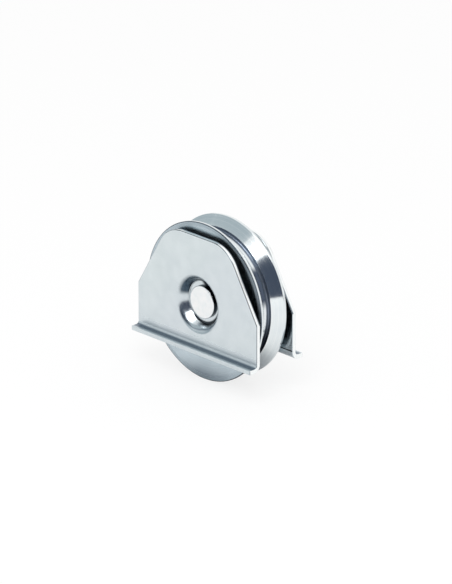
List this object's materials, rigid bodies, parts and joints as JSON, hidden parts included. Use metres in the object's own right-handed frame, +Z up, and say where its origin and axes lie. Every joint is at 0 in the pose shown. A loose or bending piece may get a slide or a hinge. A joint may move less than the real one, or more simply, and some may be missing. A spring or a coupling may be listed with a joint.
{
  "type": "v groove wheel",
  "caption": "V groove gate wheel on a ball bearing, carried by a riveted pin between dished side plates with outward mounting flanges.",
  "frame": {"origin": "the wheel's centre, on the pin's axis, midway between the side plates", "axes": "+Y along the pin to the rear plate, +X along the gate's travel, +Z up, the way the flanges' seating faces look"},
  "size_m": [0.104, 0.044, 0.1],
  "materials": {
    "wheel_steel": "turned, bright zinc plated",
    "plate_steel": "pressed sheet, satin zinc plated",
    "pin_steel": "bright zinc plated",
    "bearing_steel": "ground",
    "ball_steel": "polished",
    "cage_steel": "pressed sheet",
    "spring_steel": "black phosphate"
  },
  "bodies": {
    "support": {"front_plate": "plate_steel", "rear_plate": "plate_steel", "axle_pin": "pin_steel", "front_spacer": "pin_steel", "rear_spacer": "pin_steel", "bearing_inner_ring": "bearing_steel"},
    "wheel": {"wheel": "wheel_steel", "bearing_outer_ring": "bearing_steel", "front_shield": "cage_steel", "rear_shield": "cage_steel", "retaining_ring": "spring_steel"},
    "cage": {"cage_front_half": "cage_steel", "cage_rear_half": "cage_steel", "cage_rivets": "cage_steel"},
    "ball_1": {"ball_1": "ball_steel"},
    "ball_2": {"ball_2": "ball_steel"},
    "ball_3": {"ball_3": "ball_steel"},
    "ball_4": {"ball_4": "ball_steel"},
    "ball_5": {"ball_5": "ball_steel"},
    "ball_6": {"ball_6": "ball_steel"},
    "ball_7": {"ball_7": "ball_steel"},
    "ball_8": {"ball_8": "ball_steel"}
  },
  "joints": [
    {"name": "wheel_spin", "type": "hinge", "parent": "support", "child": "wheel", "pos_m": [0, 0, 0], "axis": [0, 1, 0], "continuous": true},
    {"name": "cage_orbit", "type": "hinge", "parent": "support", "child": "cage", "pos_m": [0, 0, 0], "axis": [0, 1, 0], "continuous": true},
    {"name": "ball_1_roll", "type": "hinge", "parent": "cage", "child": "ball_1", "pos_m": [0.01675, 0, 0], "axis": [0, 1, 0], "continuous": true},
    {"name": "ball_2_roll", "type": "hinge", "parent": "cage", "child": "ball_2", "pos_m": [0.01184, 0, 0.01184], "axis": [0, 1, 0], "continuous": true},
    {"name": "ball_3_roll", "type": "hinge", "parent": "cage", "child": "ball_3", "pos_m": [0, 0, 0.01675], "axis": [0, 1, 0], "continuous": true},
    {"name": "ball_4_roll", "type": "hinge", "parent": "cage", "child": "ball_4", "pos_m": [-0.01184, 0, 0.01184], "axis": [0, 1, 0], "continuous": true},
    {"name": "ball_5_roll", "type": "hinge", "parent": "cage", "child": "ball_5", "pos_m": [-0.01675, 0, 0], "axis": [0, 1, 0], "continuous": true},
    {"name": "ball_6_roll", "type": "hinge", "parent": "cage", "child": "ball_6", "pos_m": [-0.01184, 0, -0.01184], "axis": [0, 1, 0], "continuous": true},
    {"name": "ball_7_roll", "type": "hinge", "parent": "cage", "child": "ball_7", "pos_m": [0, 0, -0.01675], "axis": [0, 1, 0], "continuous": true},
    {"name": "ball_8_roll", "type": "hinge", "parent": "cage", "child": "ball_8", "pos_m": [0.01184, 0, -0.01184], "axis": [0, 1, 0], "continuous": true}
  ],
  "couplings": [
    {"joint": "cage_orbit", "follows": "wheel_spin", "ratio": 0.61848},
    {"joint": "ball_1_roll", "follows": "wheel_spin", "ratio": 1.9916},
    {"joint": "ball_2_roll", "follows": "wheel_spin", "ratio": 1.9916},
    {"joint": "ball_3_roll", "follows": "wheel_spin", "ratio": 1.9916},
    {"joint": "ball_4_roll", "follows": "wheel_spin", "ratio": 1.9916},
    {"joint": "ball_5_roll", "follows": "wheel_spin", "ratio": 1.9916},
    {"joint": "ball_6_roll", "follows": "wheel_spin", "ratio": 1.9916},
    {"joint": "ball_7_roll", "follows": "wheel_spin", "ratio": 1.9916},
    {"joint": "ball_8_roll", "follows": "wheel_spin", "ratio": 1.9916}
  ]
}
